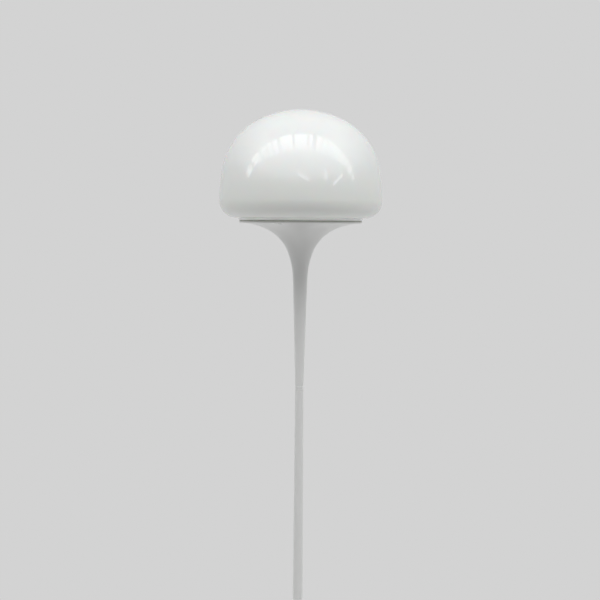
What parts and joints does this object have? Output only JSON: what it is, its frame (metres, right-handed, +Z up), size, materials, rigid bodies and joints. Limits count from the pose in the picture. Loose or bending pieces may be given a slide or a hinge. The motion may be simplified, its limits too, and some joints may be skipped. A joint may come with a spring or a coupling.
{
  "type": "floor lamp",
  "caption": "Mushroom-shaped floor lamp: opal dome shade on the flared head of a slim white pole with a trumpet-like foot.",
  "frame": {"origin": "on the floor, on the lamp's axis, under the middle of the foot", "axes": "+Z up along the pole; +Y towards the back, where the cord inlet is; +X to the right seen from the front"},
  "size_m": [0.38, 0.3798, 1.45],
  "materials": {
    "white_lacquer": "semi-gloss white stove enamel",
    "opal_acrylic": "polished opal acrylic",
    "gasket_rubber": "matt dark olive-grey rubber",
    "zinc_steel": "bright zinc plate",
    "black_iron": "rough casting, black primer",
    "grey_felt": "pressed wool felt",
    "holder_plastic": "white thermoset, satin",
    "steatite": "unglazed steatite",
    "brass": "plain brass",
    "clamp_plastic": "natural nylon",
    "gland_plastic": "white nylon bush",
    "bulb_opal": "frosted diffuser",
    "bulb_housing": "white moulding",
    "bulb_cap_metal": "pressed, bright",
    "black_insulator": "glossy black",
    "led_board": "white solder mask on aluminium",
    "lead_sheath": "white flex sheath"
  },
  "bodies": {
    "stand": {"floor_felt": "grey_felt", "base_plate": "zinc_steel", "base_plate_screws": "zinc_steel", "base_bell": "white_lacquer", "base_weight": "black_iron", "base_washer": "zinc_steel", "base_nut": "zinc_steel", "base_tube": "zinc_steel", "foot_plug": "zinc_steel", "cord_gland": "gland_plastic", "cord_clamp": "clamp_plastic", "cord_clamp_screws": "zinc_steel", "terminal_block": "clamp_plastic", "terminal_block_screws": "zinc_steel", "terminal_clamp_screws": "brass", "lower_pole": "white_lacquer", "lower_coupler": "white_lacquer", "coupler_nipple": "zinc_steel", "upper_coupler": "white_lacquer", "neck_trumpet": "white_lacquer", "centre_rod": "zinc_steel", "top_plate": "white_lacquer", "plate_washer": "zinc_steel", "plate_nut": "zinc_steel", "shade_gasket": "gasket_rubber", "locating_ring": "white_lacquer", "locating_ring_screws": "zinc_steel", "holder_cap": "holder_plastic", "holder_barrel": "holder_plastic", "holder_insert": "steatite", "holder_terminal_screws": "brass", "holder_sleeve": "brass", "holder_contact": "brass", "inner_lead": "lead_sheath"},
    "shade": {"shade": "opal_acrylic"},
    "bulb_core": {"bulb_tip": "brass", "bulb_insulator": "black_insulator"},
    "bulb": {"bulb_screw_cap": "bulb_cap_metal", "bulb_housing": "bulb_housing", "led_board": "led_board", "bulb_globe": "bulb_opal"}
  },
  "joints": [
    {"name": "shade_lift", "type": "slide", "parent": "stand", "child": "shade", "axis": [0, 0, 1], "range_m": [0, 0.2]},
    {"name": "bulb_rise", "type": "slide", "parent": "stand", "child": "bulb_core", "axis": [0, 0, 1], "range_m": [0, 0.0165]},
    {"name": "bulb_turn", "type": "hinge", "parent": "bulb_core", "child": "bulb", "pos_m": [0, 0, 1.3], "axis": [0, 0, 1], "range_deg": [0, 1620]}
  ],
  "couplings": [
    {"joint": "bulb_rise", "follows": "bulb_turn", "m_per_rad": 0.00057757}
  ]
}
